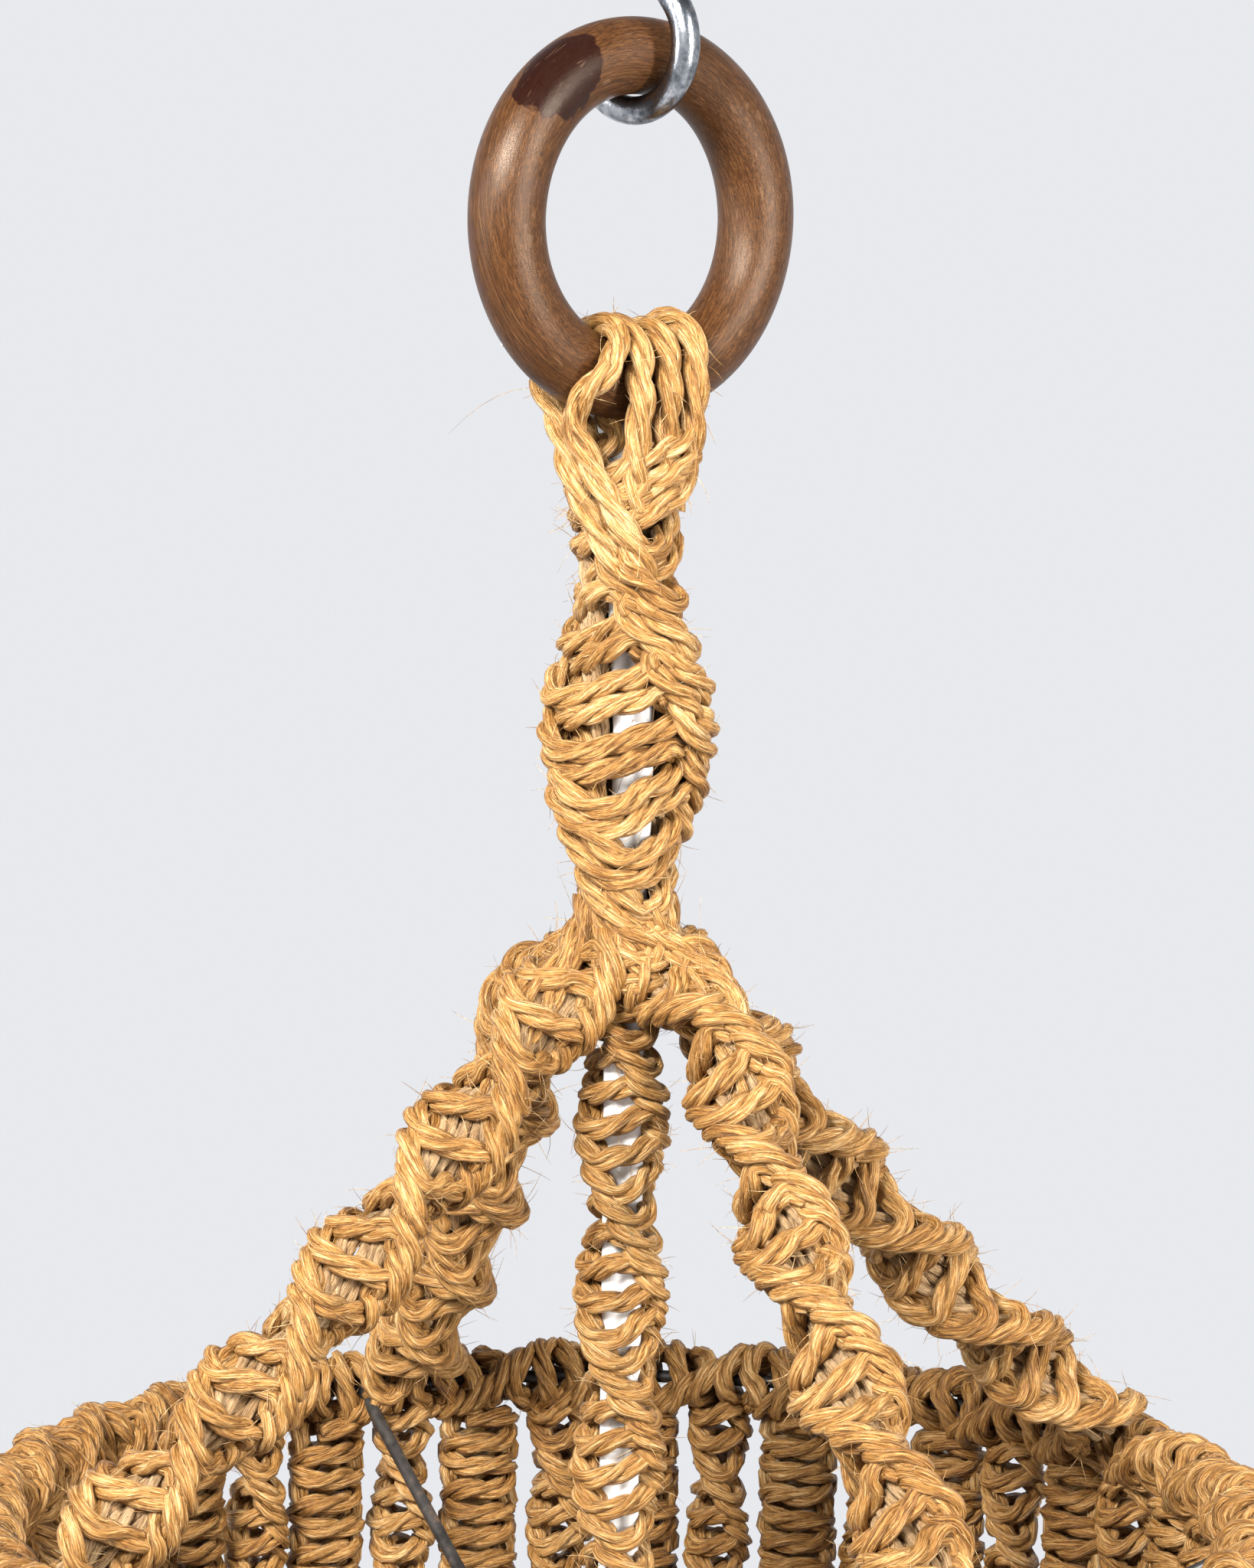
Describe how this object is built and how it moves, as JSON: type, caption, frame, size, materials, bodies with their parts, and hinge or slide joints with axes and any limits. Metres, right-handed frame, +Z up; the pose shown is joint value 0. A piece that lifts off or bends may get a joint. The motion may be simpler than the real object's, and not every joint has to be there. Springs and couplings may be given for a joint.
{
  "type": "rope pendant lamp",
  "caption": "Pendant lamp of knotted sisal rope: wooden ring on a steel hook, spiral sinnets, a drum shade of knotted columns with fringe, and a screw lamp holder.",
  "frame": {"origin": "where the lamp hangs: the inside of the hook's upper bow, at its top", "axes": "+Z up, +X in the plane of the wooden ring, the lamp's own axis on Z"},
  "size_m": [0.2424, 0.2424, 0.5715],
  "materials": {
    "sisal_rope": "three-strand sisal cord, golden tan, hairy",
    "jute_core": "plain filler cord",
    "stained_wood": "stained and varnished, worn",
    "zinc_steel": "bright zinc plate, mottled",
    "black_wire": "thin black coating on steel wire",
    "white_flex": "glossy white twin flex",
    "white_plastic": "moulded white plastic",
    "ceramic_insert": "moulded insulating carrier",
    "nickel_shell": "nickel-plated brass shell",
    "brass_terminal": "brass"
  },
  "bodies": {
    "hook": {"hanging_hook": "zinc_steel"},
    "ring": {"wood_ring": "stained_wood"},
    "lamp": {"centre_contact": "brass_terminal", "centre_sinnet": "sisal_rope", "contact_carrier": "ceramic_insert", "flat_columns_back_to_left": "sisal_rope", "flat_columns_front_to_right": "sisal_rope", "flat_columns_left_to_front": "sisal_rope", "flat_columns_right_to_back": "sisal_rope", "flex": "white_flex", "fringe_flat_back_to_left": "sisal_rope", "fringe_flat_front_to_right": "sisal_rope", "fringe_flat_left_to_front": "sisal_rope", "fringe_flat_right_to_back": "sisal_rope", "fringe_spiral_back_to_left": "sisal_rope", "fringe_spiral_front_to_right": "sisal_rope", "fringe_spiral_left_to_front": "sisal_rope", "fringe_spiral_right_to_back": "sisal_rope", "gathering_wrap": "sisal_rope", "holder_terminals": "brass_terminal", "junction_knot": "sisal_rope", "lampholder_body": "white_plastic", "lampholder_cap": "white_plastic", "rim_cover_lower": "sisal_rope", "rim_cover_upper": "sisal_rope", "rim_wire_lower": "black_wire", "rim_wire_upper": "black_wire", "ring_loops": "sisal_rope", "socket_shell": "nickel_shell", "spider_arms": "black_wire", "spider_hub": "black_wire", "spiral_columns_back_to_left": "sisal_rope", "spiral_columns_front_to_right": "sisal_rope", "spiral_columns_left_to_front": "sisal_rope", "spiral_columns_right_to_back": "sisal_rope", "support_back": "sisal_rope", "support_core_back": "jute_core", "support_core_front": "jute_core", "support_core_left": "jute_core", "support_core_right": "jute_core", "support_front": "sisal_rope", "support_left": "sisal_rope", "support_right": "sisal_rope", "terminal_block": "white_plastic", "terminal_screws": "brass_terminal", "top_sinnet": "sisal_rope", "top_sinnet_core": "jute_core"},
    "shade_clamp": {"shade_ring": "white_plastic"}
  },
  "joints": [
    {"name": "ring_swing", "type": "hinge", "parent": "hook", "child": "ring", "pos_m": [0, 0, -0.04695], "axis": [1, 0, 0], "range_deg": [-25, 25]},
    {"name": "lamp_swing", "type": "hinge", "parent": "ring", "child": "lamp", "pos_m": [0, 0, -0.10345], "axis": [1, 0, 0], "range_deg": [-10, 10]},
    {"name": "shade_ring_turn", "type": "hinge", "parent": "lamp", "child": "shade_clamp", "pos_m": [0, 0, -0.3552], "axis": [0, 0, 1], "range_deg": [0, 1080]}
  ]
}
